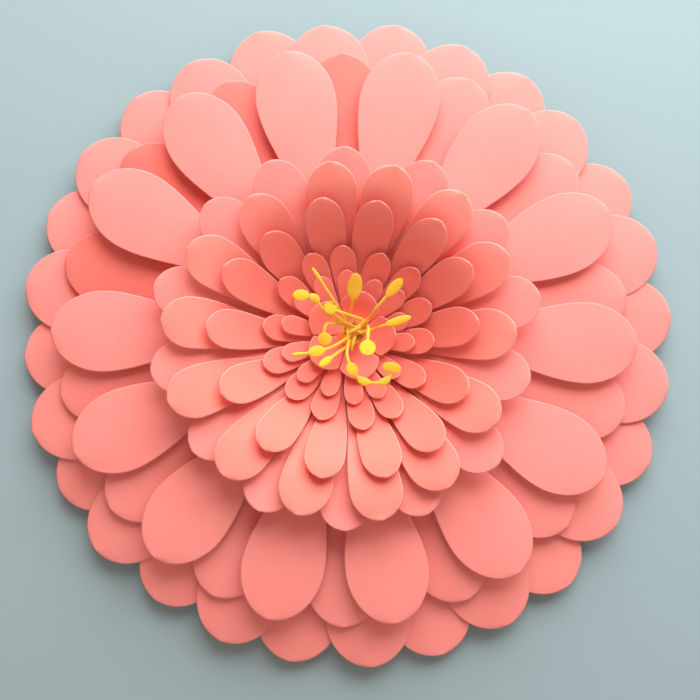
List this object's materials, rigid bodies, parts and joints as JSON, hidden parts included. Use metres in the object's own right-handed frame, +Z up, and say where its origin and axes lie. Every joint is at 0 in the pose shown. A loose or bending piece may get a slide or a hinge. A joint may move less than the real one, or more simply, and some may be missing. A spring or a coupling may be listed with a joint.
{
  "type": "giant paper flower",
  "caption": "Large round wall flower made of cut card petals in staggered rings around a cupped centre with rolled paper stamens.",
  "frame": {"origin": "middle of the backing disc's back face, on the wall plane", "axes": "front of the flower faces -Y, the wall is the plane y = 0, +Z is up the wall, +X is to the viewer's right"},
  "size_m": [0.5001, 0.0631, 0.4969],
  "materials": {
    "petal_card": "matte",
    "stamen_card": "matte"
  },
  "bodies": {
    "root": {"backing_disc": "petal_card", "outer_petal_01": "petal_card", "outer_petal_02": "petal_card", "outer_petal_03": "petal_card", "outer_petal_04": "petal_card", "outer_petal_05": "petal_card", "outer_petal_06": "petal_card", "outer_petal_07": "petal_card", "outer_petal_08": "petal_card", "outer_petal_09": "petal_card", "outer_petal_10": "petal_card", "outer_petal_11": "petal_card", "outer_petal_12": "petal_card", "outer_petal_13": "petal_card", "outer_petal_14": "petal_card", "middle_rear_petal_01": "petal_card", "middle_rear_petal_02": "petal_card", "middle_rear_petal_03": "petal_card", "middle_rear_petal_04": "petal_card", "middle_rear_petal_05": "petal_card", "middle_rear_petal_06": "petal_card", "middle_rear_petal_07": "petal_card", "middle_rear_petal_08": "petal_card", "middle_rear_petal_09": "petal_card", "middle_rear_petal_10": "petal_card", "middle_rear_petal_11": "petal_card", "middle_rear_petal_12": "petal_card", "middle_rear_petal_13": "petal_card", "middle_rear_petal_14": "petal_card", "middle_front_petal_01": "petal_card", "middle_front_petal_02": "petal_card", "middle_front_petal_03": "petal_card", "middle_front_petal_04": "petal_card", "middle_front_petal_05": "petal_card", "middle_front_petal_06": "petal_card", "middle_front_petal_07": "petal_card", "middle_front_petal_08": "petal_card", "middle_front_petal_09": "petal_card", "middle_front_petal_10": "petal_card", "middle_front_petal_11": "petal_card", "middle_front_petal_12": "petal_card", "middle_front_petal_13": "petal_card", "middle_front_petal_14": "petal_card", "rosette_flat": "petal_card", "rosette_cupped": "petal_card", "rosette_medium": "petal_card", "rosette_small": "petal_card", "rosette_tiny": "petal_card", "centre_cup": "petal_card", "stamen_fringe": "stamen_card"}
  },
  "joints": []
}
